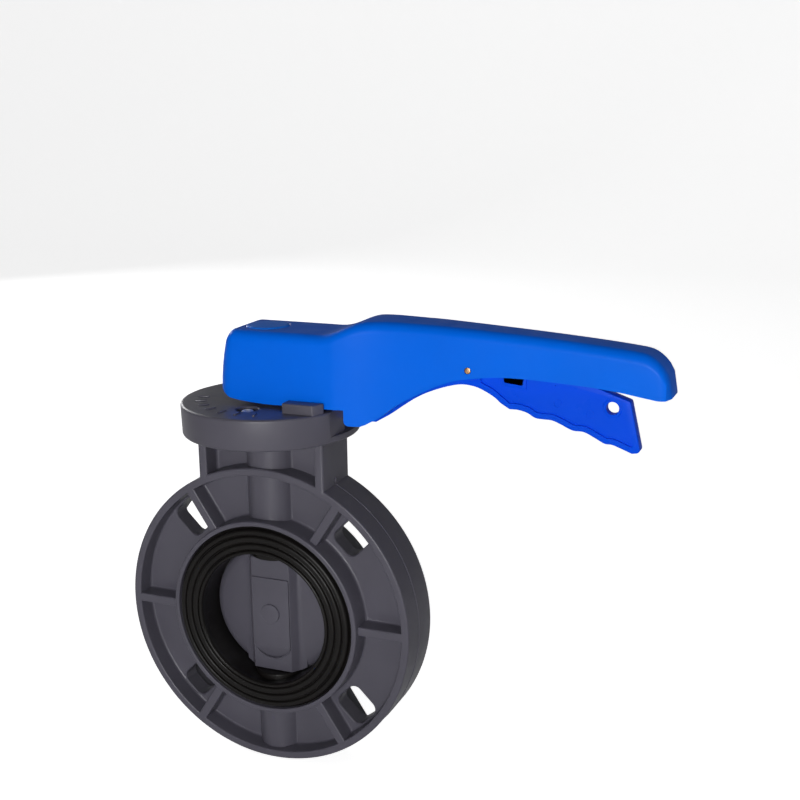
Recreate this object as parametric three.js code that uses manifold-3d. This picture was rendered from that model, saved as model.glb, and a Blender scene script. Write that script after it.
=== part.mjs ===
// Lever-operated wafer butterfly valve, 80 mm nominal size.
// Units are millimetres. +Z runs up the stem, +Y along the pipe and +X along the
// handle when the valve is shut. The origin is the centre of the bore.
import * as THREE from "three";
import { mergeVertices } from "three/addons/utils/BufferGeometryUtils.js";
import Module from "manifold-3d";

const wasm = await Module();
wasm.setup();

const DEG = Math.PI / 180;
const GAP = 0.3; // clearance between pieces that touch on the real valve

// Body: rim, sealing ring, web, ribs and slots, all centred on the bore
const RIM_R = 95;
const RIM_INNER_R = 89.8;
const RIM_HALF = 17.8;
const RING_R = 62.2;
const RING_BORE_R = 59.2;
const RING_HALF = 21.3;
const KEY_R = 55.5; // tongue inside the ring that keeps the liner in place
const KEY_HALF = 8;
const WEB_HALF = 6.2;
const RIB_WIDTH = 5.6;
const RIB_ANGLES = [0, 57, 123, 180, 237, 303];
const SLOT_ANGLES = [45, 135, 225, 315];
const SLOT_NEAR = 66.5;
const SLOT_FAR = 88.3;
const SLOT_WIDTH = 18.5;
const SLOT_CORNER = 5;

// Neck and stem housing
const TUBE_R = 15.7;
const BOSS_R = 14;
const NECK_HALF = 42;
const NECK_WALL = 5.6;
const PANEL_HALF = 5;

// Top pad of the body and the index plate that sits over it like a cap
const PAD_FLANGE_R = 46.5;
const PAD_FLANGE_TOP = 118;
const SPIGOT_R = 36;
const SPIGOT_TOP = 122;
const FLANGE_R = 53.8;
const FLANGE_Z = 115.4;
const PLATE_TOP = 134.3;
const SECTOR_START = -5; // the toothed ring; from its ends a flat runs out to the rim
const SECTOR_END = 95;
const FLAT_X = 48.5;
const FLAT_Y = -38.6;
const TEETH_R = 50;
const NOTCH_R = 46.5;
const NOTCH_WIDTH = 6;
const NOTCH_STEP = 15;
const UNDERCUT_R = 46;
const UNDERCUT_LOW = 119.6;
const UNDERCUT_TOP = 124.5;
const STOP_TOP = 140;
const STOP_NEAR = 22.6;
const STOP_DEPTH = 8.4;
const STOP_START = 23.3;
const TICK_ANGLES = [-165, -150, -135, -120, -105, -90, -75];

// Liner and disc
const LINER_R = RING_BORE_R - GAP;
const LINER_HALF = 22.6;
const LINER_FACE = 23; // the lip round the bore stands a little proud of the ring
const BORE_R = 42.4;
const PAD_R = 15.6;
const PAD_TOP = 35.7;
const PAD_LOW = -39;
const DISC_R = BORE_R - 0.4;
const HUB_TOP = PAD_TOP - 0.4;
const HUB_LOW = PAD_LOW + 0.4;
const HUB_FRONT = 10.3;
const HUB_FRONT_HALF = 12.9;
const HUB_BASE_HALF = 16.6;
const PLATEAU = 11.3;
const PLATEAU_TOP = 22.5;
const PLATEAU_LOW = -24;
const BOSS_FRONT = 12.4;

// Stem
const STEM_R = 7;
const STEM_TOP = 162;
const SHAFT_Z = 33;
const DRIVE_HALF = 4.8;
const TAIL_R = 4.7;
const TAIL_Z = -36;
const STEM_LOW = -86;
const SQUARE_HALF = 5.5;
const SQUARE_Z = 136;
const CLIP_Z = 132.8;
const WASHER_LOW = 131.2;

// Bushes and seals
const BUSH_R = 11;
const BUSH_LOW = 86.3;
const BUSH_COLLAR_R = 14.5;
const BUSH_TOP = 124.6;
const LOWER_BUSH_R = 7.6;
const UPPER_SEALS = [93, 103];
const LOWER_SEAL = -66;
const POCKET_Z = -88;

// Screws that hold the index plate
const SCREW_CIRCLE = 29;
const SCREW_RECESS_R = 6.5;
const SCREW_HEAD_R = 3.9;
const SCREW_SOCKET_R = 1.8;
const SCREW_R = 2.6;
const SCREW_SEAT = 129.6;
const SCREW_LOW = 116.6;

// Handle
const HEAD_REAR = -24.3;
const HEAD_HALF = 22;
const HEAD_LOW = 136.2;
const HEAD_TOP = 178.6;
const HEEL_X = 57.5;
const HEEL_LOW = 126.6;
const TIP_X = 240.6;
const TIP_HALF = 13.5;
const SHELL_WALL = 3.2;
const SOCKET_R = 15.5;
const SOCKET_LOW = 136.8;
const CAP_R = 13;
const CAP_SEAT = 175.4;
const WASHER_Z = 168;

// Trigger inside the handle
const PIVOT_X = 130;
const PIVOT_Z = 163.2;
const PIN_R = 1.75;
const BEAD_HALF = 3.7;
const LEAF_HALF = 2.1;
const SPRING_X = 153.2;
const SPRING_FLOOR = 155;
const SPRING_TOP = 180.9;
const SPRING_R = 3.1;
const WIRE_R = 0.65;
const POCKET_HALF = 4.7;
const LOCK_X = 208.2;
const LOCK_Z = 145.8;
const LOCK_R = 3.5;

// ---------- solids ----------

function solid(geometry) {
  const plain = geometry.clone();
  plain.deleteAttribute("normal");
  plain.deleteAttribute("uv");
  const merged = mergeVertices(plain, 1e-4);
  const index = merged.index.array;
  const kept = [];
  for (let i = 0; i < index.length; i += 3) {
    const [a, b, c] = [index[i], index[i + 1], index[i + 2]];
    if (a !== b && b !== c && c !== a) kept.push(a, b, c);
  }
  const vertProperties = new Float32Array(merged.attributes.position.array);
  const build = (tris) => new wasm.Manifold(
    new wasm.Mesh({ numProp: 3, vertProperties, triVerts: Uint32Array.from(tris) }));
  let shape = build(kept);
  if (shape.volume() < 0) {
    for (let i = 0; i < kept.length; i += 3) [kept[i + 1], kept[i + 2]] = [kept[i + 2], kept[i + 1]];
    shape = build(kept);
  }
  return shape;
}

const unite = (shapes) => shapes.reduce((all, next) => all.add(next));

function cut(shape, tools) {
  return tools.reduce((left, tool) => left.subtract(tool), shape);
}

// Revolve a [radius, height] outline about Z; a ring's outline is closed here.
function turned(outline, segments = 48) {
  const points = outline.map(([r, h]) => new THREE.Vector2(r, h));
  const onAxis = outline[0][0] === 0 && outline[outline.length - 1][0] === 0;
  if (!onAxis) points.push(points[0].clone());
  return solid(new THREE.LatheGeometry(points, segments).rotateX(Math.PI / 2));
}

// The same about the pipe axis Y; the outline is [radius, y].
function turnedY(outline, segments = 72) {
  return turned(outline.map(([r, y]) => [r, -y]), segments).rotate([90, 0, 0]);
}

function rod(radius, low, high, segments = 32) {
  return turned([[0, low], [radius, low], [radius, high], [0, high]], segments);
}

function rodY(radius, half, x, z, segments = 32) {
  return rod(radius, -half, half, segments).rotate([90, 0, 0]).translate([x, 0, z]);
}

function block([x0, y0, z0], [x1, y1, z1]) {
  const box = new THREE.BoxGeometry(x1 - x0, y1 - y0, z1 - z0);
  return solid(box.translate((x0 + x1) / 2, (y0 + y1) / 2, (z0 + z1) / 2));
}

// A flat outline in X and Z, given thickness along Y.
function plateXZ(shape, y0, y1, curveSegments = 8) {
  const geometry = new THREE.ExtrudeGeometry(shape, { depth: y1 - y0, bevelEnabled: false, curveSegments });
  return solid(geometry.rotateX(Math.PI / 2).translate(0, y1, 0));
}

// A flat outline in X and Y, given thickness along Z.
function plateXY(shape, z0, z1, curveSegments = 8) {
  const geometry = new THREE.ExtrudeGeometry(shape, { depth: z1 - z0, bevelEnabled: false, curveSegments });
  return solid(geometry.translate(0, 0, z0));
}

function squareBar(half, corner, low, high) {
  const shape = new THREE.Shape([
    [half, corner], [corner, half], [-corner, half], [-half, corner],
    [-half, -corner], [-corner, -half], [corner, -half], [half, -corner],
  ].map(([x, y]) => new THREE.Vector2(x, y)));
  return plateXY(shape, low, high);
}

function sector(radius, from, to, low, high) {
  const shape = new THREE.Shape();
  shape.moveTo(0, 0);
  shape.absarc(0, 0, radius, from * DEG, to * DEG, false);
  shape.lineTo(0, 0);
  return plateXY(shape, low, high, 12);
}

function ringSeal(middle, wire, z) {
  const outline = [];
  for (let i = 0; i < 6; i += 1) {
    const a = i * 60 * DEG;
    outline.push([middle + wire * Math.cos(a), z + wire * Math.sin(a)]);
  }
  return turned(outline, 20);
}

// ---------- body ----------

function bodyRings() {
  const half = [
    [KEY_R, 0], [KEY_R, KEY_HALF], [RING_BORE_R, KEY_HALF], [RING_BORE_R, RING_HALF],
    [RING_R - 0.6, RING_HALF], [RING_R, RING_HALF - 0.6], [RING_R, WEB_HALF],
    [RIM_INNER_R, WEB_HALF], [RIM_INNER_R, RIM_HALF], [RIM_R - 1, RIM_HALF],
    [RIM_R, RIM_HALF - 1],
  ];
  const other = half.slice(1).reverse().map(([r, y]) => [r, -y]);
  return turnedY([...half, ...other]);
}

function ribs() {
  const length = RIM_INNER_R + 2 - RING_R + 2;
  return RIB_ANGLES.map((angle) =>
    block([RING_R - 2, -RIM_HALF, -RIB_WIDTH / 2], [RING_R - 2 + length, RIM_HALF, RIB_WIDTH / 2])
      .rotate([0, -angle, 0]));
}

function boltSlot(angle) {
  const [near, far, half, c] = [SLOT_NEAR, SLOT_FAR, SLOT_WIDTH / 2, SLOT_CORNER];
  const shape = new THREE.Shape();
  shape.moveTo(near + c, -half);
  shape.absarc(far - c, -half + c, c, -90 * DEG, 0, false);
  shape.absarc(far - c, half - c, c, 0, 90 * DEG, false);
  shape.absarc(near + c, half - c, c, 90 * DEG, 180 * DEG, false);
  shape.absarc(near + c, -half + c, c, 180 * DEG, 270 * DEG, false);
  return plateXZ(shape, -WEB_HALF - 1, WEB_HALF + 1, 4).rotate([0, -angle, 0]);
}

function neck() {
  const inner = NECK_HALF - NECK_WALL;
  const top = FLANGE_Z + 1;
  const walls = [-1, 1].map((side) => {
    const [near, far] = side < 0 ? [-NECK_HALF, -inner] : [inner, NECK_HALF];
    return block([near, -RIM_HALF, 70], [far, RIM_HALF, top]);
  });
  const panel = block([-inner - 1, -PANEL_HALF, 70], [inner + 1, PANEL_HALF, top]);
  const clear = rodY(RIM_INNER_R + 2, RIM_HALF + 5, 0, 0, 72);
  return unite([...walls, panel]).subtract(clear);
}

function body() {
  const flange = turned([
    [0, FLANGE_Z], [PAD_FLANGE_R, FLANGE_Z], [PAD_FLANGE_R, PAD_FLANGE_TOP],
    [SPIGOT_R, PAD_FLANGE_TOP], [SPIGOT_R, SPIGOT_TOP], [0, SPIGOT_TOP],
  ], 72);
  const whole = unite([
    bodyRings(), ...ribs(), neck(), flange,
    rod(TUBE_R, 59.8, FLANGE_Z + 1), rod(BOSS_R, -92, -59.8),
  ]);
  return cut(whole, [
    ...SLOT_ANGLES.map(boltSlot),
    rod(STEM_R + 0.5, 50, BUSH_LOW + 1),
    rod(BUSH_R + GAP, BUSH_LOW - GAP, SPIGOT_TOP + 1),
    rod(LOWER_BUSH_R + GAP, POCKET_Z, -50),
    ...screwPlaces().map(([x, y]) => rod(SCREW_R + GAP, SCREW_LOW - 0.4, SPIGOT_TOP + 1, 16).translate([x, y, 0])),
  ]);
}

// ---------- index plate and its screws ----------

function screwPlaces() {
  return [-90, 30, 150].map((angle) =>
    [SCREW_CIRCLE * Math.cos(angle * DEG), SCREW_CIRCLE * Math.sin(angle * DEG)]);
}

function stopLug() {
  const lug = block([STOP_START, -STOP_NEAR - STOP_DEPTH, PLATE_TOP - 2], [60, -STOP_NEAR, STOP_TOP]);
  return lug.intersect(rod(FLANGE_R - 1.6, PLATE_TOP - 3, STOP_TOP + 1, 72));
}

function tick(angle) {
  return block([38, -0.7, PLATE_TOP - 1], [44.5, 0.7, PLATE_TOP + 0.7]).rotate([0, 0, angle]);
}

// What is cut away outside the toothed ring.
function outsideTeeth() {
  const shape = new THREE.Shape();
  shape.absarc(0, 0, TEETH_R, SECTOR_START * DEG, SECTOR_END * DEG, false);
  for (const [x, y] of [[FLAT_Y, FLAT_X], [FLAT_Y, 70], [70, 70], [70, FLAT_Y], [FLAT_X, FLAT_Y]]) {
    shape.lineTo(x, y);
  }
  return plateXY(shape, UNDERCUT_LOW, PLATE_TOP + 1, 20);
}

function indexPlate() {
  const low = FLANGE_Z;
  const disc = turned([
    [0, SPIGOT_TOP + GAP], [SPIGOT_R + GAP, SPIGOT_TOP + GAP], [SPIGOT_R + GAP, PAD_FLANGE_TOP + GAP],
    [PAD_FLANGE_R + GAP, PAD_FLANGE_TOP + GAP], [PAD_FLANGE_R + GAP, low], [FLANGE_R - 1.2, low],
    [FLANGE_R, low + 1.2], [FLANGE_R, PLATE_TOP - 1.2], [FLANGE_R - 1.2, PLATE_TOP], [0, PLATE_TOP],
  ], 72);
  const below = turned([
    [UNDERCUT_R, UNDERCUT_LOW], [60, UNDERCUT_LOW], [60, UNDERCUT_TOP], [UNDERCUT_R, UNDERCUT_TOP],
  ], 72);
  const reachBelow = sector(80, SECTOR_START + 2, SECTOR_END - 2, low - 2, PLATE_TOP + 2);
  const notches = [];
  for (let angle = 0; angle <= 90; angle += NOTCH_STEP) {
    notches.push(block([NOTCH_R, -NOTCH_WIDTH / 2, UNDERCUT_LOW], [60, NOTCH_WIDTH / 2, PLATE_TOP + 1])
      .rotate([0, 0, angle]));
  }
  const plain = cut(disc, [
    outsideTeeth(), below.intersect(reachBelow), ...notches,
    rod(BUSH_COLLAR_R + GAP, SPIGOT_TOP - 1, BUSH_TOP + GAP),
    rod(STEM_R + 0.5, SPIGOT_TOP, PLATE_TOP),
    rod(11.6, WASHER_LOW - GAP, PLATE_TOP + 1),
    ...screwPlaces().map(([x, y]) => rod(SCREW_RECESS_R, SCREW_SEAT, PLATE_TOP + 1, 24).translate([x, y, 0])),
    ...screwPlaces().map(([x, y]) => rod(SCREW_R + GAP, low - 1, SCREW_SEAT + 1, 16).translate([x, y, 0])),
  ]);
  return unite([plain, stopLug(), stopLug().mirror([0, 1, 0]).rotate([0, 0, 90]), ...TICK_ANGLES.map(tick)]);
}

function plateScrew([x, y]) {
  const low = SCREW_SEAT + GAP;
  const head = turned([
    [0, SCREW_LOW], [SCREW_R, SCREW_LOW], [SCREW_R, low], [SCREW_HEAD_R, low],
    [SCREW_HEAD_R, low + 2.6], [SCREW_HEAD_R - 1, low + 3.6], [0, low + 3.6],
  ], 20);
  const socket = rod(SCREW_SOCKET_R, low + 1.4, low + 5, 6);
  return head.subtract(socket).translate([x, y, 0]);
}

// ---------- liner and disc ----------

function liner() {
  const half = [
    [BORE_R, 0], [BORE_R, LINER_FACE - 3], [BORE_R - 0.6, LINER_FACE - 1], [BORE_R + 0.4, LINER_FACE],
    [LINER_R - 2.2, LINER_HALF], [LINER_R, LINER_HALF - 1], [LINER_R, KEY_HALF + GAP],
    [KEY_R - GAP, KEY_HALF + GAP],
  ];
  const other = half.slice(1).reverse().map(([r, y]) => [r, -y]);
  const ring = turnedY([...half, ...other], 60);
  return cut(unite([ring, rod(PAD_R, PAD_TOP, 46), rod(PAD_R, -46, PAD_LOW)]), [
    rod(STEM_R + 0.4, PAD_TOP - 1, 60), rod(TAIL_R + 0.4, -60, PAD_LOW + 1),
  ]);
}

// The hub is a bar with a flat front and back and sloping sides, kept inside the disc's circle.
function hub() {
  const [front, base] = [HUB_FRONT, 4];
  const shape = new THREE.Shape([
    [HUB_FRONT_HALF, front], [-HUB_FRONT_HALF, front], [-HUB_BASE_HALF, base], [-HUB_BASE_HALF, -base],
    [-HUB_FRONT_HALF, -front], [HUB_FRONT_HALF, -front], [HUB_BASE_HALF, -base], [HUB_BASE_HALF, base],
  ].map(([x, y]) => new THREE.Vector2(x, y)));
  return plateXY(shape, HUB_LOW, HUB_TOP);
}

function plateau() {
  const shape = new THREE.Shape();
  shape.moveTo(-HUB_FRONT_HALF, PLATEAU_LOW);
  shape.quadraticCurveTo(0, PLATEAU_LOW - 15, HUB_FRONT_HALF, PLATEAU_LOW);
  shape.lineTo(HUB_FRONT_HALF, PLATEAU_TOP);
  shape.lineTo(-HUB_FRONT_HALF, PLATEAU_TOP);
  return plateXZ(shape, -PLATEAU, PLATEAU);
}

function disc() {
  const half = [[0, 4.8], [36, 4.6], [DISC_R - 1, 2.4], [DISC_R, 1.2]];
  const plate = turnedY([...half, ...half.slice().reverse().map(([r, y]) => [r, -y])], 60);
  const trimmed = cut(plate, [rod(PAD_R + 1, HUB_TOP - 0.1, 50), rod(PAD_R + 1, -50, HUB_LOW + 0.1)]);
  return cut(unite([trimmed, hub(), plateau(), rodY(6.2, BOSS_FRONT, 0, -0.5, 24)]), [
    squareBar(DRIVE_HALF + GAP, 3.7, TAIL_Z - GAP, HUB_TOP + 1),
    rod(STEM_R + GAP, SHAFT_Z - GAP, HUB_TOP + 1),
    rod(TAIL_R + GAP, HUB_LOW - 1, TAIL_Z + 1, 24),
  ]);
}

// ---------- stem, bushes and seals ----------

function stem() {
  const journal = turned([
    [0, SHAFT_Z], [STEM_R, SHAFT_Z], [STEM_R, CLIP_Z - 0.2], [STEM_R - 0.9, CLIP_Z - 0.2],
    [STEM_R - 0.9, CLIP_Z + 1.4], [STEM_R, CLIP_Z + 1.4], [STEM_R, SQUARE_Z], [0, SQUARE_Z],
  ]);
  const whole = unite([
    journal, squareBar(DRIVE_HALF, 3.4, TAIL_Z, SHAFT_Z + 1),
    rod(TAIL_R, STEM_LOW, TAIL_Z + 1, 24), squareBar(SQUARE_HALF, 4.2, SQUARE_Z - 1, STEM_TOP),
  ]);
  return whole.subtract(rod(3, 147, STEM_TOP + 1, 20));
}

function upperBush() {
  const bore = STEM_R + GAP;
  const outline = [[BUSH_R, BUSH_LOW], [BUSH_R, SPIGOT_TOP + GAP], [BUSH_COLLAR_R, SPIGOT_TOP + GAP],
    [BUSH_COLLAR_R, BUSH_TOP], [bore, BUSH_TOP]];
  for (const z of [...UPPER_SEALS].reverse()) {
    outline.push([bore, z + 1.1], [bore + 1.8, z + 1.1], [bore + 1.8, z - 1.1], [bore, z - 1.1]);
  }
  outline.push([bore, BUSH_LOW]);
  return turned(outline, 28);
}

function lowerBush() {
  const bore = TAIL_R + GAP;
  return turned([
    [LOWER_BUSH_R, POCKET_Z + GAP], [LOWER_BUSH_R, -60], [bore, -60], [bore, LOWER_SEAL + 1],
    [bore + 1.5, LOWER_SEAL + 1], [bore + 1.5, LOWER_SEAL - 1], [bore, LOWER_SEAL - 1],
    [bore, POCKET_Z + GAP],
  ], 32);
}

function thrustWasher() {
  return turned([[STEM_R + GAP, WASHER_LOW], [11, WASHER_LOW], [11, CLIP_Z - GAP], [STEM_R + GAP, CLIP_Z - GAP]], 32);
}

function stemClip() {
  const ring = turned([[STEM_R - 0.6, CLIP_Z], [9.8, CLIP_Z], [9.8, CLIP_Z + 1.2], [STEM_R - 0.6, CLIP_Z + 1.2]], 32);
  return ring.subtract(block([-2, -12, CLIP_Z - 1], [2, 0, CLIP_Z + 3]));
}

// ---------- handle ----------

// Side view of the handle, or of its hollow when inset by the wall; the hollow is open below.
function handleSide(inset) {
  const top = HEAD_TOP - inset;
  const shape = new THREE.Shape();
  shape.moveTo(HEAD_REAR + 10, HEAD_LOW - inset * 3);
  if (inset === 0) {
    shape.lineTo(HEEL_X, HEAD_LOW);
    shape.lineTo(HEEL_X, HEEL_LOW + 3);
    shape.quadraticCurveTo(HEEL_X, HEEL_LOW, HEEL_X + 3, HEEL_LOW);
  }
  const drop = inset * 3;
  shape.lineTo(67 - (inset ? 40 : 0), HEEL_LOW - drop);
  shape.lineTo(67 + inset, HEEL_LOW - drop);
  shape.splineThru([[80, 133.4], [101.8, 148], [123, 156.5], [146, 160.4], [171, 160.3], [200, 159.2], [230, 155.4]]
    .map(([x, z]) => new THREE.Vector2(x - inset * 0.8, z - drop)));
  shape.quadraticCurveTo(TIP_X - inset, 154 - drop, TIP_X - inset, 159 - inset);
  shape.bezierCurveTo(TIP_X - inset, 168 - inset, 235 - inset, 178 - inset, 220 - inset, 179.4 - inset);
  shape.splineThru([[200, 181.6], [150, 184.7], [110, 186.6], [78, 187]]
    .map(([x, z]) => new THREE.Vector2(x, z - inset)));
  shape.bezierCurveTo(64, 187 - inset, 54, top, 44, top);
  shape.lineTo(HEAD_REAR + 12, top);
  shape.quadraticCurveTo(HEAD_REAR + 3.4 + inset, top, HEAD_REAR + 2.4 + inset, 166);
  shape.lineTo(HEAD_REAR + inset, 148);
  shape.lineTo(HEAD_REAR + inset, HEAD_LOW + 6 - drop);
  shape.quadraticCurveTo(HEAD_REAR + inset, HEAD_LOW - drop, HEAD_REAR + 10, HEAD_LOW - drop);
  return plateXZ(shape, -40, 40, 6);
}

// Top view of the handle: a wide head that tapers into the arm.
function handlePlan(inset) {
  const head = HEAD_HALF - inset;
  const tip = TIP_HALF - inset;
  const rear = HEAD_REAR + inset;
  const end = TIP_X - inset;
  const shape = new THREE.Shape();
  shape.moveTo(rear + 10, -head);
  shape.lineTo(50, -head);
  shape.bezierCurveTo(80, -head + 3.4, 100, -tip - 2, 150, -tip - 0.6);
  shape.lineTo(end - 6, -tip);
  shape.quadraticCurveTo(end, -tip, end, -tip + 6);
  shape.lineTo(end, tip - 6);
  shape.quadraticCurveTo(end, tip, end - 6, tip);
  shape.lineTo(150, tip + 0.6);
  shape.bezierCurveTo(100, tip + 2, 80, head - 3.4, 50, head);
  shape.lineTo(rear + 10, head);
  shape.quadraticCurveTo(rear, head, rear, head - 10);
  shape.lineTo(rear, -head + 10);
  shape.quadraticCurveTo(rear, -head, rear + 10, -head);
  return plateXY(shape, 90, 200, 6);
}

function handleShell() {
  const outer = handleSide(0).intersect(handlePlan(0));
  const inner = handleSide(SHELL_WALL).intersect(handlePlan(SHELL_WALL));
  const hollow = outer.subtract(inner);
  const socket = rod(SOCKET_R, SOCKET_LOW, HEAD_TOP - 1);
  return cut(unite([hollow, socket]), [
    squareBar(SQUARE_HALF + GAP, 4.5, SOCKET_LOW - 1, STEM_TOP + GAP),
    rod(3.4, STEM_TOP, WASHER_Z + 1, 20),
    rod(11, WASHER_Z, CAP_SEAT + 1),
    rod(CAP_R + GAP, CAP_SEAT, HEAD_TOP + 1),
    rodY(PIN_R + GAP, 30, PIVOT_X, PIVOT_Z, 20),
  ]);
}

function handleCap() {
  const low = CAP_SEAT + GAP;
  return turned([[0, low], [CAP_R, low], [CAP_R, HEAD_TOP], [CAP_R - 0.6, HEAD_TOP + 0.5], [0, HEAD_TOP + 0.7]]);
}

function handleWasher() {
  const low = WASHER_Z + GAP;
  return turned([[3.3, low], [8.5, low], [8.5, low + 1.6], [3.3, low + 1.6]], 32);
}

function handleScrew() {
  const low = WASHER_Z + 2.2;
  const shank = rod(2.7, 150, low + 1, 20);
  return unite([shank, rod(5.4, low, low + 3.8, 6)]);
}

// ---------- trigger ----------

function triggerSide() {
  const shape = new THREE.Shape();
  shape.moveTo(50.6, 126.8);
  shape.lineTo(50.6, 133.6);
  shape.lineTo(59, 134.4);
  shape.splineThru([[68, 146], [84, 156.5], [106, 164.5], [124, 168.6]].map(([x, z]) => new THREE.Vector2(x, z)));
  shape.lineTo(143, 165.5);
  shape.lineTo(144.8, 163);
  shape.lineTo(160, 163);
  shape.lineTo(199, 156.8);
  shape.lineTo(214.4, 151.6);
  shape.quadraticCurveTo(217.4, 150.6, 218, 148.4);
  shape.lineTo(224, 125.4);
  shape.quadraticCurveTo(224.2, 121.4, 219.4, 121.2);
  shape.splineThru([
    [213.4, 123.8], [208.6, 125.6], [204.4, 125.9], [199, 128.6], [193, 131.3], [186.6, 131.7], [179.8, 134.6],
    [175, 136.3], [170, 136.5], [165.5, 136.9], [160.8, 139.4], [155.6, 140.5], [150.8, 140.5],
  ].map(([x, z]) => new THREE.Vector2(x, z)));
  shape.splineThru([[145.6, 143.6], [140.3, 147.7], [130, 152], [118, 151.8], [98, 144.3], [78, 130.9]]
    .map(([x, z]) => new THREE.Vector2(x, z)));
  shape.lineTo(70, 126.2);
  shape.lineTo(58, 126.2);
  return shape;
}

// The shallow panel between the trigger's edge beads.
function triggerPanel(side) {
  const shape = new THREE.Shape([
    [163, 158.4], [200, 152.6], [212.4, 148.4], [214.4, 146.6], [219, 128.2],
    [208, 130.2], [193, 135.6], [174, 140.6], [156, 144.8], [147, 148.4], [143, 151.4],
    [163, 151.4],
  ].map(([x, z]) => new THREE.Vector2(x, z)));
  return side > 0 ? plateXZ(shape, LEAF_HALF, 10) : plateXZ(shape, -10, -LEAF_HALF);
}

// The opening that the spring stands in.
function springWindow() {
  return new THREE.Shape([[148, 175], [148, 156.4], [149.6, SPRING_FLOOR], [158.4, SPRING_FLOOR], [158.4, 175]]
    .map(([x, z]) => new THREE.Vector2(x, z)));
}

function trigger() {
  const leaf = cut(plateXZ(triggerSide(), -BEAD_HALF, BEAD_HALF, 3), [triggerPanel(1), triggerPanel(-1)]);
  const pocket = new THREE.Shape([[146.4, 163], [146.4, 153.8], [160.8, 152.3], [160.8, 163]]
    .map(([x, z]) => new THREE.Vector2(x, z)));
  const cleared = unite([leaf, plateXZ(pocket, -POCKET_HALF, POCKET_HALF), rodY(6.4, 10.4, PIVOT_X, PIVOT_Z, 24)]);
  const opened = cut(cleared, [
    plateXZ(springWindow(), -12, 12),
    rodY(PIN_R + GAP, 20, PIVOT_X, PIVOT_Z, 20),
    rodY(LOCK_R, 20, LOCK_X, LOCK_Z, 24),
  ]);
  return opened.add(rod(2.1, SPRING_FLOOR - 1, SPRING_FLOOR + 9, 16).translate([SPRING_X, 0, 0]));
}

class Helix extends THREE.Curve {
  constructor(radius, low, high, turns) {
    super();
    Object.assign(this, { radius, low, high, turns });
  }

  getPoint(t, target = new THREE.Vector3()) {
    const a = t * this.turns * 2 * Math.PI;
    const z = this.low + (this.high - this.low) * t;
    return target.set(this.radius * Math.cos(a), this.radius * Math.sin(a), z);
  }
}

function spring() {
  const wire = new THREE.Shape();
  wire.absarc(0, 0, WIRE_R, 0, 2 * Math.PI, false);
  const path = new Helix(SPRING_R, SPRING_FLOOR + GAP + WIRE_R, SPRING_TOP - WIRE_R, 8);
  const coil = new THREE.ExtrudeGeometry(wire, { steps: 96, extrudePath: path, curveSegments: 3 });
  return solid(coil).translate([SPRING_X, 0, 0]);
}

function pivotPin() {
  return rodY(PIN_R, 14.2, PIVOT_X, PIVOT_Z, 20);
}

// ---------- assembly ----------

function toMesh(name, shape, [colour, roughness, metalness]) {
  const { vertProperties, triVerts, numProp } = shape.getMesh();
  const positions = new Float32Array((vertProperties.length / numProp) * 3);
  for (let i = 0; i < positions.length / 3; i += 1) {
    for (let k = 0; k < 3; k += 1) positions[i * 3 + k] = vertProperties[i * numProp + k];
  }
  const geometry = new THREE.BufferGeometry();
  geometry.setAttribute("position", new THREE.BufferAttribute(positions, 3));
  geometry.setIndex(new THREE.BufferAttribute(new Uint32Array(triVerts), 1));
  geometry.computeVertexNormals();
  const material = new THREE.MeshStandardMaterial({ color: colour, roughness, metalness });
  const mesh = new THREE.Mesh(geometry, material);
  mesh.name = name;
  return mesh;
}

const GREY_PVC = [0x55545e, 0.45, 0];
const EPDM = [0x1c1a18, 0.7, 0];
const BLUE = [0x0a66e8, 0.35, 0];
const DEEP_BLUE = [0x0a48e0, 0.4, 0];
const STEEL = [0xb9bcc0, 0.3, 1];
const BRASS = [0xc58a4a, 0.35, 1];
const ACETAL = [0xe6e2d6, 0.5, 0];

const valve = new THREE.Group();
valve.name = "butterfly_valve";
valve.add(
  toMesh("body", body(), GREY_PVC),
  toMesh("index_plate", indexPlate(), GREY_PVC),
  toMesh("liner", liner(), EPDM),
  toMesh("upper_bush", upperBush(), ACETAL),
  toMesh("lower_bush", lowerBush(), ACETAL),
  toMesh("thrust_washer", thrustWasher(), STEEL),
  toMesh("upper_seal_1", ringSeal(STEM_R + GAP + 0.9, 0.8, UPPER_SEALS[0]), EPDM),
  toMesh("upper_seal_2", ringSeal(STEM_R + GAP + 0.9, 0.8, UPPER_SEALS[1]), EPDM),
  toMesh("lower_seal", ringSeal(TAIL_R + GAP + 0.75, 0.65, LOWER_SEAL), EPDM),
  toMesh("stem", stem(), STEEL),
  toMesh("stem_clip", stemClip(), STEEL),
  toMesh("disc", disc(), GREY_PVC),
  toMesh("handle_shell", handleShell(), BLUE),
  toMesh("handle_cap", handleCap(), BLUE),
  toMesh("handle_washer", handleWasher(), STEEL),
  toMesh("handle_screw", handleScrew(), STEEL),
  toMesh("trigger", trigger(), DEEP_BLUE),
  toMesh("pivot_pin", pivotPin(), BRASS),
  toMesh("trigger_spring", spring(), BRASS),
);
screwPlaces().forEach((place, i) => {
  valve.add(toMesh(`plate_screw_${i + 1}`, plateScrew(place), STEEL));
});

export default valve;
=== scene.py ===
"""The looks of a lever-operated wafer butterfly valve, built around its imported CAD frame.

The frame is in metres. The outlines here are in millimetres, and every mesh is scaled once, when it is made.
+Z runs up the stem, +Y along the pipe and +X along the handle when the valve is shut.
"""

import math

import bmesh
import bpy
from mathutils import Matrix, Vector

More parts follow.
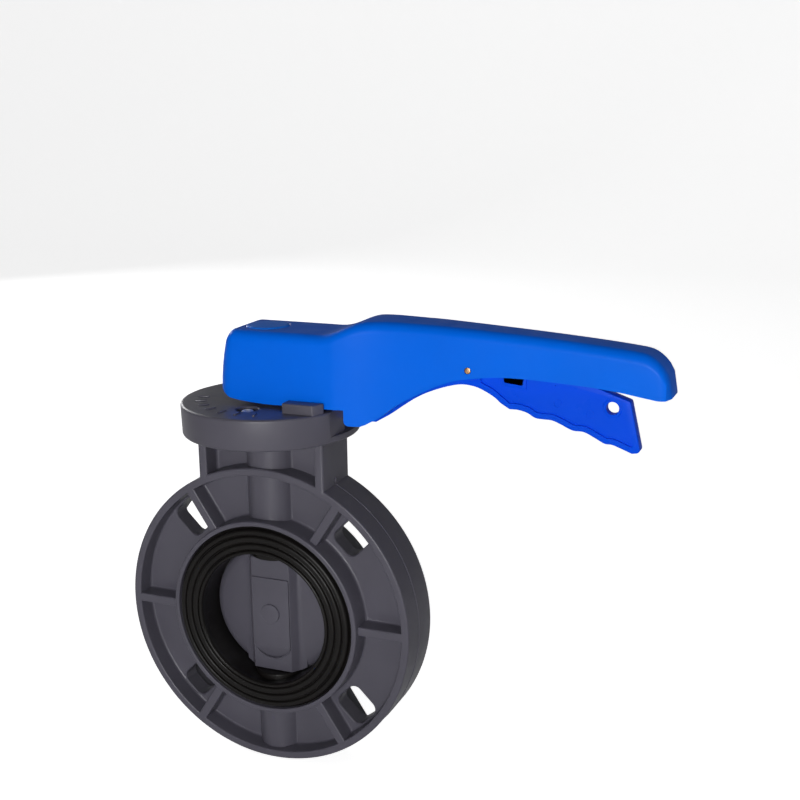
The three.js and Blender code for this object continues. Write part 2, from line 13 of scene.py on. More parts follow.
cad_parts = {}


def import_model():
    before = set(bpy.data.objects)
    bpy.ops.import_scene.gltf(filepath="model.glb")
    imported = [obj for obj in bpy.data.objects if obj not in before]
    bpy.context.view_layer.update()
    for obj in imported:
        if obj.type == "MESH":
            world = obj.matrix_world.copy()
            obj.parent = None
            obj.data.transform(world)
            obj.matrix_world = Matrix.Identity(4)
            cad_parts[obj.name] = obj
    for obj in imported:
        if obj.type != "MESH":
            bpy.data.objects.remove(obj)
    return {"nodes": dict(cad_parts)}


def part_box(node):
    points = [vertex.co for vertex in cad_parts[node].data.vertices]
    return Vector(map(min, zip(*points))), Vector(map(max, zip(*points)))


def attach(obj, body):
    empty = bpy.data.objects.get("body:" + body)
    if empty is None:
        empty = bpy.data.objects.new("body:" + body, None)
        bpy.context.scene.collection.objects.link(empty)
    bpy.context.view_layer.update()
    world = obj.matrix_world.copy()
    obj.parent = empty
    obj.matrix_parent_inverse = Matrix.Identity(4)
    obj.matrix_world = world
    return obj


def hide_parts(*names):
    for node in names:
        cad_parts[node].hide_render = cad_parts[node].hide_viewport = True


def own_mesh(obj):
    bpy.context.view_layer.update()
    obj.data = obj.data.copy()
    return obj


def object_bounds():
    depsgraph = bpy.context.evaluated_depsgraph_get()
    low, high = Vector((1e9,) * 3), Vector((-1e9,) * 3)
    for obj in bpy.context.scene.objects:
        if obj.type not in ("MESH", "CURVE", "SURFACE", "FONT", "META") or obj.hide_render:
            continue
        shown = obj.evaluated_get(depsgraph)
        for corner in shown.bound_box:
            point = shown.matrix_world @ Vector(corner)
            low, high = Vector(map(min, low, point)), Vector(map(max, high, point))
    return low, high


MM = 0.001
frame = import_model()
cad_low, cad_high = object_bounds()


def extent(node):
    """Lowest and highest corner of a CAD node, in millimetres."""
    low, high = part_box(node)
    return low / MM, high / MM


# ---------- driving sizes, from the frame where it has them ----------

RIM_R = -extent("body")[0].x
RIM_HALF = 17.8
RIM_INNER_R = RIM_R - 5.2
RING_HALF = 21.3
RING_R = 62.2
RING_BORE_R = 59.2
WEB_HALF = 6.2
RIB_WIDTH = 5.6
RIB_ANGLES = (0, 57, 123, 180, 237, 303)
SLOT_ANGLES = (45, 135, 225, 315)
SLOT_MIDDLE = 77.4
SLOT_LENGTH = 21.8
SLOT_WIDTH = 18.5
SLOT_CORNER = 5.0

TUBE_R = 15.7
BOSS_R = 14.0
NECK_HALF = 42.0
NECK_WALL = 5.6
PANEL_HALF = 5.0
PAD_FLANGE_R = 46.5
PAD_FLANGE_TOP = 118.0
SPIGOT_R = 36.0
SPIGOT_TOP = extent("body")[1].z

FLANGE_R = extent("index_plate")[1].x
FLANGE_LOW = extent("index_plate")[0].z
PLATE_TOP = 134.3
STOP_TOP = extent("index_plate")[1].z
SECTOR = (-5, 95)
FLAT = (48.5, -38.6)
TEETH_R = 50.0
NOTCH_R = 46.5
UNDERCUT_R = 46.0
UNDERCUT_LOW = 119.6
UNDERCUT_TOP = 124.5
SCREW_CIRCLE = 29.0
SCREW_SEAT = 129.6

LINER_R = extent("liner")[1].x
BORE_R = 42.4
PAD_R = 15.6
PAD_TOP = 35.7
PAD_LOW = -39.0
DISC_R = extent("disc")[1].x
HUB_TOP = PAD_TOP - 0.4
HUB_LOW = extent("disc")[0].z
HUB_FRONT = 10.3
PLATEAU = 11.3
BOSS_FRONT = extent("disc")[1].y

HEAD_REAR = extent("handle_shell")[0].x
TIP_X = extent("handle_shell")[1].x
HEAD_LOW = 136.3
HEAD_TOP = 178.6
HEEL_LOW = 127.0
CAP_R = extent("handle_cap")[1].x
CAP_SEAT = 175.4
WALL = 3.2
PIVOT = (130.0, 163.2)
SPRING_X = 153.2
LOCK = (208.2, 145.8)


# ---------- mesh tools ----------

def new_object(name, bm):
    """A smooth-shaded object from a bmesh in millimetres, with true edges kept crisp."""
    bmesh.ops.remove_doubles(bm, verts=bm.verts, dist=1e-4)
    bmesh.ops.recalc_face_normals(bm, faces=bm.faces)
    bm.transform(Matrix.Scale(MM, 4))
    mesh = bpy.data.meshes.new(name)
    bm.to_mesh(mesh)
    bm.free()
    obj = bpy.data.objects.new(name, mesh)
    bpy.context.scene.collection.objects.link(obj)
    crisp(obj)
    return obj


def crisp(obj, angle=28):
    mesh = obj.data
    mesh.polygons.foreach_set("use_smooth", [True] * len(mesh.polygons))
    mesh.set_sharp_from_angle(angle=math.radians(angle))
    mesh.update()


def boolean(obj, others, operation):
    """Joins or cuts obj with the other objects, which are then removed."""
    for other in others:
        modifier = obj.modifiers.new("cut", "BOOLEAN")
        modifier.operation = operation
        modifier.solver = "MANIFOLD"
        modifier.object = other
    dg = bpy.context.evaluated_depsgraph_get()
    mesh = bpy.data.meshes.new_from_object(obj.evaluated_get(dg), depsgraph=dg)
    obj.modifiers.clear()
    old = obj.data
    obj.data = mesh
    bpy.data.meshes.remove(old)
    for other in others:
        bpy.data.objects.remove(other)
    crisp(obj)
    return obj


def join(obj, others):
    return boolean(obj, others, "UNION")


def cut(obj, others):
    return boolean(obj, others, "DIFFERENCE")


def keep_inside(obj, other):
    return boolean(obj, [other], "INTERSECT")


def arc(cx, cy, r, start, end, steps=8):
    """Points on a circle, angles in degrees, both ends included."""
    return [
        (cx + r * math.cos(math.radians(start + (end - start) * i / steps)),
         cy + r * math.sin(math.radians(start + (end - start) * i / steps)))
        for i in range(steps + 1)
    ]


def rounded(points, steps=5):
    """An outline from (x, y) or (x, y, radius) corners; a radius rounds its corner."""
    out = []
    count = len(points)
    for i, point in enumerate(points):
        x, y = point[:2]
        r = point[2] if len(point) > 2 else 0
        if not r:
            out.append((x, y))
            continue
        corner = Vector((x, y))
        before = Vector(points[i - 1][:2]) - corner
        after = Vector(points[(i + 1) % count][:2]) - corner
        half = before.angle(after) / 2
        reach = min(r / math.tan(half), before.length * 0.499, after.length * 0.499)
        r = reach * math.tan(half)
        centre = corner + (before.normalized() + after.normalized()).normalized() * (r / math.sin(half))
        a = corner + before.normalized() * reach - centre
        b = corner + after.normalized() * reach - centre
        turn = a.angle_signed(b)
        for k in range(steps + 1):
            t = -turn * k / steps
            out.append((centre.x + a.x * math.cos(t) - a.y * math.sin(t),
                        centre.y + a.x * math.sin(t) + a.y * math.cos(t)))
    return out


def curve_through(points, steps=6):
    """A smooth open line through given points, as a list of (x, y)."""
    out = []
    last = len(points) - 1
    for i in range(last):
        p0, p1 = points[max(i - 1, 0)], points[i]
        p2, p3 = points[i + 1], points[min(i + 2, last)]
        for k in range(steps):
            t = k / steps
            out.append(tuple(
                0.5 * (2 * b + (c - a) * t + (2 * a - 5 * b + 4 * c - d) * t * t
                       + (3 * b - a - 3 * c + d) * t ** 3)
                for a, b, c, d in zip(p0, p1, p2, p3)))
    out.append(tuple(points[-1]))
    return out


def at(points, x):
    """Straight-line reading of a table of (x, value) points."""
    if x <= points[0][0]:
        return points[0][1]
    for (x0, v0), (x1, v1) in zip(points, points[1:]):
        if x <= x1:
            return v0 + (v1 - v0) * (x - x0) / (x1 - x0)
    return points[-1][1]


def loft(name, rings, closed_ends=True):
    """A skin over rings of equally many points, each a list of (x, y, z)."""
    bm = bmesh.new()
    rows = [[bm.verts.new(p) for p in ring] for ring in rings]
    for low, high in zip(rows, rows[1:]):
        for i in range(len(low)):
            j = (i + 1) % len(low)
            bm.faces.new((low[i], low[j], high[j], high[i]))
    if closed_ends:
        bm.faces.new(rows[0])
        bm.faces.new(rows[-1])
    return new_object(name, bm)


def revolve(name, outline, segments=160, axis="Z", steps=5):
    """Turns a closed outline of (radius, height[, corner radius]) points about an axis."""
    profile = rounded(outline, steps)
    bm = bmesh.new()
    rows = []
    for i in range(segments):
        a = 2 * math.pi * i / segments
        rows.append([
            bm.verts.new((r * math.cos(a), r * math.sin(a), h)) for r, h in profile
        ])
    for i in range(segments):
        a, b = rows[i], rows[(i + 1) % segments]
        for k in range(len(profile)):
            n = (k + 1) % len(profile)
            if profile[k][0] < 1e-6 and profile[n][0] < 1e-6:
                continue
            bm.faces.new((a[k], b[k], b[n], a[n]))
    bmesh.ops.remove_doubles(bm, verts=bm.verts, dist=1e-5)
    bmesh.ops.dissolve_degenerate(bm, edges=bm.edges, dist=1e-6)
    if axis == "Y":
        bm.transform(Matrix.Rotation(math.radians(90), 4, "X"))
    if axis == "X":
        bm.transform(Matrix.Rotation(math.radians(90), 4, "Y"))
    return new_object(name, bm)


def rod(name, r, low, high, place=(0, 0, 0), axis="Z", edge=0.0, segments=48):
    outline = [(0, low), (r, low, edge), (r, high, edge), (0, high)]
    return moved(revolve(name, outline, segments, axis, 3), place)


def moved(obj, place):
    obj.data.transform(Matrix.Translation(Vector(place) * MM))
    return obj


def turned(obj, degrees, axis="Z"):
    obj.data.transform(Matrix.Rotation(math.radians(degrees), 4, axis))
    return obj


def prism(name, outline, low, high, plane="XZ", edge=0.0, steps=3):
    """A flat outline given thickness, with both rims rounded by edge."""
    levels = [(low, 0.0)]
    if edge:
        turns = [math.radians(90 * k / steps) for k in range(steps + 1)]
        levels = [(low + edge * (1 - math.cos(a)), edge * (1 - math.sin(a))) for a in turns]
    levels += [(high + low - z, inset) for z, inset in reversed(levels)]
    rings = []
    for level, inset in levels:
        ring = shrunk(outline, inset) if inset else outline
        if plane == "XZ":
            rings.append([(x, level, z) for x, z in ring])
        elif plane == "XY":
            rings.append([(x, y, level) for x, y in ring])
        else:
            rings.append([(level, y, z) for y, z in ring])
    return loft(name, rings)


def shrunk(outline, inset):
    """The outline moved inwards along its normals."""
    count = len(outline)
    area = sum(outline[i - 1][0] * outline[i][1] - outline[i][0] * outline[i - 1][1] for i in range(count))
    side = 1 if area > 0 else -1
    out = []
    for i in range(count):
        (x0, y0), (x1, y1), (x2, y2) = outline[i - 1], outline[i], outline[(i + 1) % count]
        n1 = Vector((-(y1 - y0), x1 - x0))
        n2 = Vector((-(y2 - y1), x2 - x1))
        if n1.length < 1e-9:
            n1 = n2
        if n2.length < 1e-9:
            n2 = n1
        normal = n1.normalized() + n2.normalized()
        if normal.length < 1e-6:
            out.append((x1, y1))
            continue
        normal.normalize()
        reach = inset / max(normal.dot(n1.normalized()), 0.5)
        out.append((x1 + side * normal.x * reach, y1 + side * normal.y * reach))
    return out


# ---------- materials ----------

class Material:
    """A node material with small helpers for noise, ramps and bump."""

    def __init__(self, name, colour, roughness, metallic=0.0):
        self.material = bpy.data.materials.new(name)
        self.material.use_nodes = True
        self.nodes = self.material.node_tree.nodes
        self.links = self.material.node_tree.links
        self.shader = self.nodes["Principled BSDF"]
        self.shader.inputs["Base Color"].default_value = (*colour, 1)
        self.shader.inputs["Roughness"].default_value = roughness
        self.shader.inputs["Metallic"].default_value = metallic
        self.place = self.nodes.new("ShaderNodeTexCoord").outputs["Object"]

    def set(self, socket, value):
        self.shader.inputs[socket].default_value = value
        return self

    def noise(self, scale, detail=3.0, stretch=None):
        source = self.place
        if stretch:
            mapping = self.nodes.new("ShaderNodeMapping")
            mapping.inputs["Scale"].default_value = stretch
            self.links.new(source, mapping.inputs["Vector"])
            source = mapping.outputs["Vector"]
        node = self.nodes.new("ShaderNodeTexNoise")
        node.inputs["Scale"].default_value = scale
        node.inputs["Detail"].default_value = detail
        self.links.new(source, node.inputs["Vector"])
        return node.outputs["Fac"]

    def spread(self, value, low, high, start=0.3, end=0.7):
        node = self.nodes.new("ShaderNodeMapRange")
        node.inputs["From Min"].default_value = start
        node.inputs["From Max"].default_value = end
        node.inputs["To Min"].default_value = low
        node.inputs["To Max"].default_value = high
        self.links.new(value, node.inputs["Value"])
        return node.outputs["Result"]

    def roughness(self, value, low, high):
        self.links.new(self.spread(value, low, high), self.shader.inputs["Roughness"])
        return self

    def colours(self, value, dark, light, start=0.3, end=0.7):
        node = self.nodes.new("ShaderNodeValToRGB")
        node.color_ramp.elements[0].position = start
        node.color_ramp.elements[1].position = end
        node.color_ramp.elements[0].color = (*dark, 1)
        node.color_ramp.elements[1].color = (*light, 1)
        self.links.new(value, node.inputs["Fac"])
        self.links.new(node.outputs["Color"], self.shader.inputs["Base Color"])
        return self

    def bump(self, value, distance, strength=0.5):
        node = self.nodes.new("ShaderNodeBump")
        node.inputs["Strength"].default_value = strength
        node.inputs["Distance"].default_value = distance
        self.links.new(value, node.inputs["Height"])
        previous = self.shader.inputs["Normal"]
        if previous.is_linked:
            self.links.new(previous.links[0].from_socket, node.inputs["Normal"])
        self.links.new(node.outputs["Normal"], self.shader.inputs["Normal"])
        return self


def srgb(r, g, b):
    """Linear colour from display values of 0 to 255."""
    return tuple(
        v / 255 / 12.92 if v <= 10 else ((v / 255 + 0.055) / 1.055) ** 2.4 for v in (r, g, b)
    )


def tinted(colour, k):
    return tuple(min(c * k, 1.0) for c in colour)


def grey_pvc(name="grey_pvc", gloss=0.34):
    base = srgb(84, 82, 92)
    m = Material(name, base, gloss)
    m.set("Specular IOR Level", 0.35)
    m.colours(m.noise(24, 4), tinted(base, 0.93), tinted(base, 1.07))
    m.roughness(m.noise(60, 5), gloss - 0.05, gloss + 0.07)
    m.bump(m.noise(900, 2), 0.00003, 0.5)
    m.bump(m.noise(45, 2), 0.0002, 0.12)
    return m.material


def black_rubber():
    base = srgb(21, 19, 18)
    m = Material("black_rubber", base, 0.36)
    m.set("Specular IOR Level", 0.25)
    m.colours(m.noise(40, 4), tinted(base, 0.85), tinted(base, 1.2))
    m.roughness(m.noise(90, 5), 0.3, 0.42)
    m.bump(m.noise(700, 3), 0.00004, 0.5)
    return m.material


def blue_abs(name, base, gloss):
    m = Material(name, base, gloss)
    m.set("Specular IOR Level", 0.08)
    m.colours(m.noise(16, 4), tinted(base, 0.96), tinted(base, 1.04))
    m.roughness(m.noise(70, 5), gloss - 0.05, gloss + 0.06)
    m.bump(m.noise(1500, 2), 0.00003, 0.5)
    m.bump(m.noise(22, 2), 0.0003, 0.15)
    return m.material


def metal(name, base, rough, stretch=(1, 1, 1), metallic=1.0):
    m = Material(name, base, rough, metallic)
    m.colours(m.noise(60, 3), tinted(base, 0.85), tinted(base, 1.08))
    streaks = m.noise(500, 3, stretch)
    m.roughness(streaks, rough - 0.08, rough + 0.12)
    m.bump(streaks, 0.00002, 0.4)
    return m.material


def acetal():
    base = srgb(226, 222, 210)
    m = Material("white_acetal", base, 0.4)
    m.colours(m.noise(50, 3), tinted(base, 0.94), base)
    m.bump(m.noise(600, 2, (1, 1, 6)), 0.00002, 0.4)
    return m.material


# ---------- body ----------

def body_rings():
    """Rim, web and sealing ring in one turned profile, with moulded fillets."""
    half = [
        (RING_BORE_R, 8, 0.4), (RING_BORE_R, RING_HALF, 0.5), (RING_R, RING_HALF, 0.9),
        (RING_R + 0.2, WEB_HALF, 1.6), (RIM_INNER_R - 0.2, WEB_HALF, 1.6),
        (RIM_INNER_R, RIM_HALF, 0.8), (RIM_R - 0.1, RIM_HALF, 1.1),
    ]
    low = [(r, -h, *c) for r, h, *c in reversed(half)]
    half[-1] = (RIM_R - 0.4, RIM_HALF, 1.1)
    parting = [(RIM_R - 0.3, 1.5, 0.1), (RIM_R, 1.2, 0.2)]
    key = [(55.5, -8, 0.4), (55.5, 8, 0.4)]
    return revolve("body", [*half, *parting, *low, *key], 240, "Y", 5)


def rib(angle):
    """A radial rib on both faces of the web: eased crown, and a base that flares into the web."""
    half, height, flare, top = RIB_WIDTH / 2, RIM_HALF - WEB_HALF, 1.3, 0.9
    quarter = [(x, WEB_HALF + z) for x, z in (
        *arc(half - top, height - top, top, 90, 0, 5), *arc(half + flare, flare, flare, 180, 270, 5))]
    right = [*quarter, *[(x, -y) for x, y in reversed(quarter)]]
    ring = [*right, *[(-x, y) for x, y in reversed(right)]]
    rows = [[(x, y, z) for z, y in ring] for x in (RING_R - 2.5, RIM_INNER_R + 2)]
    return turned(loft("rib", rows), -angle, "Y")


def tube(r, low, high, flare=1.6):
    """The stem's housing: a round column flared into the web on both sides."""
    touch = math.degrees(math.asin((WEB_HALF + flare) / (r + flare)))
    quarter = arc(0, 0, r, 90, touch, 12)
    cx = (r + flare) * math.cos(math.radians(touch))
    quarter += arc(cx, WEB_HALF + flare, flare, 180 + touch, 270, 5)
    right = [*quarter, *[(x, -y) for x, y in reversed(quarter)]]
    ring = [*right, *[(-x, y) for x, y in reversed(right)]]
    clean = [p for i, p in enumerate(ring) if (Vector(p) - Vector(ring[i - 1])).length > 1e-4]
    return loft("tube", [[(x, y, z) for x, y in clean] for z in (low, high)])


def slot_cutter(angle):
    """A rounded slot with its two mouths eased."""
    a, b, c = SLOT_LENGTH / 2, SLOT_WIDTH / 2, SLOT_CORNER
    outline = rounded([(a, -b, c), (a, b, c), (-a, b, c), (-a, -b, c)], 8)
    ease = 0.7
    rings = []
    for level, grow in [
        (-WEB_HALF - 3, ease), (-WEB_HALF - 0.02, ease), (-WEB_HALF + 0.25, 0.3), (-WEB_HALF + ease, 0),
        (WEB_HALF - ease, 0), (WEB_HALF - 0.25, 0.3), (WEB_HALF + 0.02, ease), (WEB_HALF + 3, ease),
    ]:
        ring = shrunk(outline, -grow) if grow else outline
        rings.append([(SLOT_MIDDLE + x, level, z) for x, z in ring])
    return turned(loft("slot", rings), -angle, "Y")


def neck_parts():
    inner = NECK_HALF - NECK_WALL
    top = FLANGE_LOW + 1
    parts = []
    for side in (-1, 1):
        outline = rounded([
            (side * inner, -RIM_HALF, 0.9), (side * NECK_HALF, -RIM_HALF, 1.4),
            (side * NECK_HALF, RIM_HALF, 1.4), (side * inner, RIM_HALF, 0.9),
        ], 4)
        parts.append(loft("wall", [[(x, y, z) for x, y in outline] for z in (60, top)]))
    flare = 1.8
    quarter = [(inner + 0.5, PANEL_HALF + flare), *arc(inner - flare, PANEL_HALF + flare, flare, 0, -90, 5)]
    reach = TUBE_R + flare
    touch = math.degrees(math.asin((PANEL_HALF + flare) / reach))
    cx = reach * math.cos(math.radians(touch))
    quarter += arc(cx, PANEL_HALF + flare, flare, 270, 180 + touch, 5)
    quarter += arc(0, 0, TUBE_R, touch, 90, 10)
    upper = [*quarter, *[(-x, y) for x, y in reversed(quarter)]]
    ring = [*upper, *[(x, -y) for x, y in reversed(upper)]]
    clean = [p for i, p in enumerate(ring) if (Vector(p) - Vector(ring[i - 1])).length > 1e-4]
    parts.append(loft("panel", [[(x, y, z) for x, y in clean] for z in (58, top)]))
    return parts


def body():
    rings = body_rings()
    neck = neck_parts()
    hollow = revolve("hollow", [
        (0, -40), (RIM_INNER_R + 1.5, -40), (RIM_INNER_R + 1.5, 40), (0, 40),
    ], 240, "Y")
    first = join(neck[0], neck[1:])
    first = cut(first, [hollow])
    flange = revolve("flange", [
        (0, FLANGE_LOW), (PAD_FLANGE_R, FLANGE_LOW, 0.4), (PAD_FLANGE_R, PAD_FLANGE_TOP, 0.4),
        (SPIGOT_R, PAD_FLANGE_TOP), (SPIGOT_R, SPIGOT_TOP, 0.4), (0, SPIGOT_TOP),
    ], 160)
    nub = rod("nub", 1.7, NECK_HALF - 2, NECK_HALF + 0.6, (0, -0.5, 87.3), "X", 0.5, 24)
    whole = join(rings, [
        *[rib(a) for a in RIB_ANGLES], tube(TUBE_R, RING_BORE_R + 0.6, RIM_INNER_R + 2.5),
        tube(BOSS_R, -RIM_INNER_R - 2.5, -RING_BORE_R - 0.6), first, flange, nub,
    ])
    bore = [
        rod("stem_bore", 7.5, 50, 90, segments=64), rod("bush_bore", 11.3, 86, SPIGOT_TOP + 1, segments=64),
        rod("tail_bore", 7.9, -88, -50, segments=64),
    ]
    holes = [rod("screw_hole", 2.9, 116.2, SPIGOT_TOP + 1, (x, y, 0), segments=20) for x, y in screw_places()]
    return cut(whole, [*[slot_cutter(a) for a in SLOT_ANGLES], *bore, *holes])


# ---------- index plate ----------

def screw_places():
    return [(SCREW_CIRCLE * math.cos(math.radians(a)), SCREW_CIRCLE * math.sin(math.radians(a)))
            for a in (-90, 30, 150)]


def outside_teeth():
    """What is cut away outside the toothed ring: round along the teeth, flat from there to the rim."""
    x, y = FLAT
    waste = rounded([
        (y, x), *arc(0, 0, TEETH_R, SECTOR[1], SECTOR[0], 48), (x, y), (75, y), (75, 75), (y, 75),
    ])
    return prism("teeth", waste, UNDERCUT_LOW, PLATE_TOP + 1, "XY")


def undercut():
    """The groove under the teeth."""
    start, end = SECTOR[0] + 2, SECTOR[1] - 2
    outline = [*arc(0, 0, 62, start, end, 48), *arc(0, 0, UNDERCUT_R, end, start, 48)]
    return prism("undercut", outline, UNDERCUT_LOW, UNDERCUT_TOP, "XY")


def stop_lug():
    outline = rounded([
        (23.3, -31, 1.0), (43.0, -31, 1.0), (47.2, -22.6, 1.2), (23.3, -22.6, 1.0),
    ], 4)
    return prism("stop", outline, PLATE_TOP - 2, STOP_TOP, "XY", 0.7)


def index_plate():
    plate = revolve("index_plate", [
        (0, SPIGOT_TOP + 0.3), (SPIGOT_R + 0.3, SPIGOT_TOP + 0.3),
        (SPIGOT_R + 0.3, PAD_FLANGE_TOP + 0.3),
        (PAD_FLANGE_R + 0.3, PAD_FLANGE_TOP + 0.3), (PAD_FLANGE_R + 0.3, FLANGE_LOW, 0.4),
        (FLANGE_R - 0.5, FLANGE_LOW, 1.5), (FLANGE_R, PLATE_TOP, 1.5), (0, PLATE_TOP),
    ], 200)
    cutters = [outside_teeth(), undercut()]
    for angle in range(0, 91, 15):
        outline = rounded([(NOTCH_R, -3, 0.6), (60, -3), (60, 3), (NOTCH_R, 3, 0.6)], 3)
        notch = prism("notch", outline, UNDERCUT_LOW, PLATE_TOP + 1, "XY")
        cutters.append(turned(notch, angle))
    cutters += [
        rod("collar", 14.8, SPIGOT_TOP - 1, 124.9, segments=64),
        rod("bore", 7.5, SPIGOT_TOP, PLATE_TOP + 1, segments=64),
        revolve("recess", [(0, 130.9), (11.6, 130.9, 0.3), (11.6, PLATE_TOP - 0.4), (12.1, PLATE_TOP + 0.02),
                           (12.1, PLATE_TOP + 1), (0, PLATE_TOP + 1)], 72),
    ]
    for x, y in screw_places():
        cutters.append(moved(revolve("counterbore", [
            (0, SCREW_SEAT), (6.5, SCREW_SEAT, 0.3), (6.5, PLATE_TOP - 0.5), (7.1, PLATE_TOP + 0.02),
            (7.1, PLATE_TOP + 1), (0, PLATE_TOP + 1)], 40), (x, y, 0)))
        cutters.append(rod("screw_hole", 2.9, FLANGE_LOW, SCREW_SEAT + 1, (x, y, 0), segments=20))
    cut(plate, cutters)
    marks = []
    for angle in range(-165, -74, 15):
        bar = rounded([(38, -0.7, 0.3), (44.6, -0.7, 0.3), (44.6, 0.7, 0.3), (38, 0.7, 0.3)], 2)
        marks.append(turned(prism("tick", bar, PLATE_TOP - 0.6, PLATE_TOP + 0.7, "XY", 0.35, 3), angle))
    open_stop = stop_lug()
    open_stop.data.transform(Matrix.Scale(-1, 4, (0, 1, 0)))
    open_stop.data.flip_normals()
    return join(plate, [stop_lug(), turned(open_stop, 90), *marks])


def plate_screw(number, place):
    """A socket-head cap screw, its hexagon left open."""
    low = SCREW_SEAT + 0.3
    head = revolve(f"screw_{number}", [
        (0, 116.6), (2.6, 116.6, 0.6), (2.6, low), (3.9, low, 0.2), (3.9, low + 2.5, 0.5),
        *[(r, low + 2.0 + math.sqrt(max(5.2 - (r / 2.6) ** 2, 0)) * 0.8) for r in (3.3, 2.6, 1.8, 0.9)],
        (0, low + 3.6),
    ], 48)
    hexagon = rod("hexagon", 1.7, low + 1.4, low + 5, segments=6)
    return moved(cut(head, [hexagon]), (*place, 0))


# ---------- liner and disc ----------

def liner():
    """The rubber seat: a lip round the bore, three more ridges and two pads round the stem."""
    ridges = [
        (BORE_R, 5, 6), (BORE_R, 18.0, 2.5), (41.8, 21.6, 1.0), (42.5, 23.2, 0.8), (44.1, 22.9, 0.9),
        (44.6, 20.4, 0.4), (45.2, 22.8, 0.9), (48.3, 22.8, 1.1), (49.0, 20.2, 0.4), (49.8, 22.7, 0.9),
        (52.9, 22.7, 1.1), (53.6, 20.0, 0.4), (54.4, 22.5, 0.9), (57.0, 22.3, 1.2), (57.7, 19.2, 0.4),
        (LINER_R, 18.6), (LINER_R, 8.3), (55.2, 8.3, 0.3),
    ]
    low = [(r, -h, *c) for r, h, *c in reversed(ridges)]
    ring = revolve("liner", [*ridges, *low], 200, "Y", 4)
    pads = [
        rod("pad", PAD_R, PAD_TOP, 46, edge=0.9, segments=96),
        rod("pad", PAD_R, -46, PAD_LOW, edge=0.9, segments=96),
    ]
    whole = join(ring, pads)
    return cut(whole, [
        rod("stem_hole", 7.4, 33, 60, segments=48),
        rod("tail_hole", 5.1, -60, -36, segments=48),
    ])


def disc():
    """The closing disc: a thin plate and a bar-shaped hub with a raised panel on each face."""
    edge = [(0, 4.9), (30, 4.8), (38, 4.2, 8), (DISC_R - 1.2, 2.6, 2), (DISC_R, 1.2, 0.8)]
    low = [(r, -h, *c) for r, h, *c in reversed(edge)]
    plate = revolve("disc", [*edge, *low], 200, "Y", 4)
    ends = [
        rod("end", PAD_R + 1, HUB_TOP - 0.1, 50, segments=96),
        rod("end", PAD_R + 1, -50, HUB_LOW + 0.1, segments=96),
    ]
    cut(plate, ends)
    quarter = [(12.9, HUB_FRONT, 0.9), (16.3, 5.6, 3.0), (20.8, 4.4)]
    right = [*[(x, -y, *c) for x, y, *c in quarter], *reversed(quarter)]
    plan = rounded([*right, *[(-x, -y, *c) for x, y, *c in right]], 6)
    hub = prism("hub", plan, HUB_LOW, HUB_TOP, "XY", 0.9, 4)
    keep_inside(hub, rod("round", DISC_R - 0.4, -20, 20, axis="Y", segments=200))
    whole = join(plate, [hub, *[piece for side in (-1, 1) for piece in panel(side)]])
    cut(whole, [scoop(-1), scoop(1)])
    join(whole, [bead(-1), bead(1)])
    drive = rounded([(-5.1, -5.1, 1), (5.1, -5.1, 1), (5.1, 5.1, 1), (-5.1, 5.1, 1)], 3)
    return cut(whole, [
        prism("drive", drive, -36.3, HUB_TOP + 1, "XY"),
        rod("top", 7.3, 32.7, 45),
        rod("tail", 5.0, -45, -35.7),
    ])


PANEL_END = arc(0, -16.4, 13.9, 204, 336, 24)


def panel(side):
    """The raised panel of the hub and the round boss in its middle, on the front (-1) or the back."""
    outline = [(-12.7, -22.0), *PANEL_END, (12.7, -22.0), (12.7, 22.5), (-12.7, 22.5)]
    face = prism("panel", outline, 6, PLATEAU, "XZ", 0.3, 3)
    boss = rod("boss", 6.2, 8, BOSS_FRONT, axis="Y", edge=0.35, segments=64)
    for piece in (face, boss):
        reach = abs(min(v.co.y for v in piece.data.vertices)) < abs(max(v.co.y for v in piece.data.vertices))
        if reach == (side < 0):
            piece.data.transform(Matrix.Scale(-1, 4, (0, 1, 0)))
            piece.data.flip_normals()
    return [face, moved(boss, (0, 0, -0.5))]


def scoop(side):
    """The sloping cut that ends the panel in a crescent."""
    outline = arc(0, -16.4, 13.8, 207.5, 332.5, 24)
    deep = [(x, side * (PLATEAU - 2.2 * (-22.8 - z) / 7.4), z) for x, z in outline]
    return loft("scoop", [[(x, side * 14, z) for x, z in outline], deep])


def bead(side):
    """A fine raised line round the crescent."""
    path = [Vector((x, side * (HUB_FRONT + 0.2), z)) for x, z in arc(0, -16.4, 14.1, 207.5, 332.5, 32)]
    rings = []
    for i, point in enumerate(path):
        along = (path[min(i + 1, len(path) - 1)] - path[max(i - 1, 0)]).normalized()
        across = along.cross(Vector((0, 1, 0)))
        rings.append([
            tuple(point + across * x + Vector((0, 1, 0)) * y) for x, y in arc(0, 0, 0.65, 0, 330, 11)
        ])
    return loft("bead", rings)


# ---------- handle ----------

TOP_LINE = [
    (-24.3, 178.6), (28, 178.5), (38, 178.4), (44, 178.6), (50, 180.0), (56, 182.4), (62, 184.9),
    (68, 186.6),
    (76, 187.2), (84, 187.3),
    (100, 187.0), (113, 186.6), (147, 184.8), (176, 183), (203, 180.9), (224, 178.7),
    (232, 176.9), (240.6, 174.2),
]
SIDE_LINE = [
    (-24.3, 22), (46, 22), (54, 21.5), (62, 20.1), (70, 18.4), (78, 17.1), (90, 15.9),
    (112, 14.9), (147, 14),
    (175, 13.5), (224, 13.5), (240.6, 13.4),
]
REAR_LEAN = 0.0042


